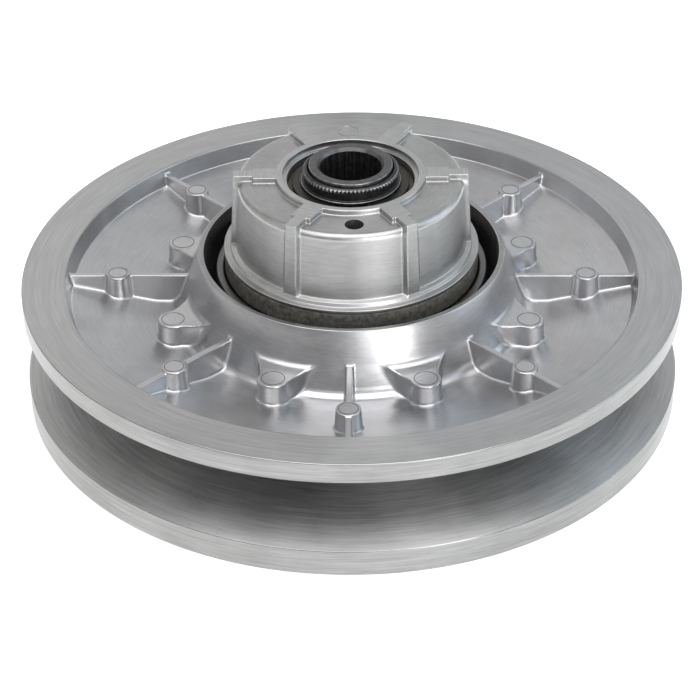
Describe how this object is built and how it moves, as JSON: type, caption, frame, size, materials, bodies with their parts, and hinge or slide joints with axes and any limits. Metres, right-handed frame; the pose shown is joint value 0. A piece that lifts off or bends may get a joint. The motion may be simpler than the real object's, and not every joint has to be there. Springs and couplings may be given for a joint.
{
  "type": "cvt driven pulley",
  "caption": "Torque-sensing driven pulley of a belt CVT: two cone-faced sheaves, a ribbed sliding sheave with collar, spring cup and splined centre.",
  "frame": {"origin": "centre of the lower sheave's flat rim face, on the shaft axis, which is the bottom of the part", "axes": "+Z along the shaft axis from the fixed sheave towards the spring cup; -Y is the side of the cup with the spring hole"},
  "size_m": [0.28, 0.28, 0.1047],
  "materials": {
    "cast_aluminium": "satin die cast web with turned rims and belt faces",
    "cup_aluminium": "satin machined casting",
    "black_steel": "black oxide",
    "bare_steel": "ground",
    "spring_steel": "dark oiled wire",
    "brown_polymer": "dark brown-black, satin",
    "bronze": "sintered, dull"
  },
  "bodies": {
    "root": {"fixed_sheave": "cast_aluminium", "centre_post": "black_steel", "splined_bush": "black_steel", "closing_bumper": "brown_polymer", "spring_cup": "cup_aluminium", "helix_cam": "bare_steel", "guide_band": "brown_polymer", "retaining_ring": "black_steel", "post_screw_1": "black_steel", "post_screw_2": "black_steel", "post_screw_3": "black_steel", "post_screw_4": "black_steel", "post_screw_5": "black_steel", "post_screw_6": "black_steel", "drive_key_1": "bare_steel", "drive_key_2": "bare_steel", "drive_key_3": "bare_steel", "cam_dowel_1": "bare_steel", "cam_dowel_2": "bare_steel", "cam_dowel_3": "bare_steel"},
    "spring_seat": {"spring_seat": "bare_steel", "compression_spring": "spring_steel"},
    "sliding_sheave": {"sliding_sheave": "cast_aluminium", "lower_bushing": "bronze", "upper_bushing": "bronze", "thrust_washer": "brown_polymer", "roller_pin_1": "bare_steel", "roller_pin_2": "bare_steel", "roller_pin_3": "bare_steel"},
    "roller_1": {"cam_roller_1": "brown_polymer"},
    "roller_2": {"cam_roller_2": "brown_polymer"},
    "roller_3": {"cam_roller_3": "brown_polymer"}
  },
  "joints": [
    {"name": "sheave_slide", "type": "slide", "parent": "root", "child": "spring_seat", "axis": [0, 0, 1], "range_m": [0, 0.024], "stiffness_N_per_m": 3000, "springref_m": -0.03, "deforming": ["compression_spring"]},
    {"name": "sheave_twist", "type": "hinge", "parent": "spring_seat", "child": "sliding_sheave", "pos_m": [0, 0, 0.0285], "axis": [0, 0, 1], "range_deg": [-0.5, 36.5]},
    {"name": "roller_spin_1", "type": "hinge", "parent": "sliding_sheave", "child": "roller_1", "pos_m": [0.032, 0, 0.058], "axis": [1, 0, 0], "range_deg": [-5, 440]},
    {"name": "roller_spin_2", "type": "hinge", "parent": "sliding_sheave", "child": "roller_2", "pos_m": [-0.016, 0.02771, 0.058], "axis": [-0.5, 0.866, 0], "range_deg": [-5, 440]},
    {"name": "roller_spin_3", "type": "hinge", "parent": "sliding_sheave", "child": "roller_3", "pos_m": [-0.016, -0.02771, 0.058], "axis": [-0.5, -0.866, 0], "range_deg": [-5, 440]}
  ],
  "couplings": [
    {"joint": "sheave_twist", "follows": "sheave_slide", "rad_per_m": 26.18},
    {"joint": "roller_spin_1", "follows": "sheave_slide", "rad_per_m": 313.6},
    {"joint": "roller_spin_2", "follows": "sheave_slide", "rad_per_m": 313.6},
    {"joint": "roller_spin_3", "follows": "sheave_slide", "rad_per_m": 313.6}
  ]
}
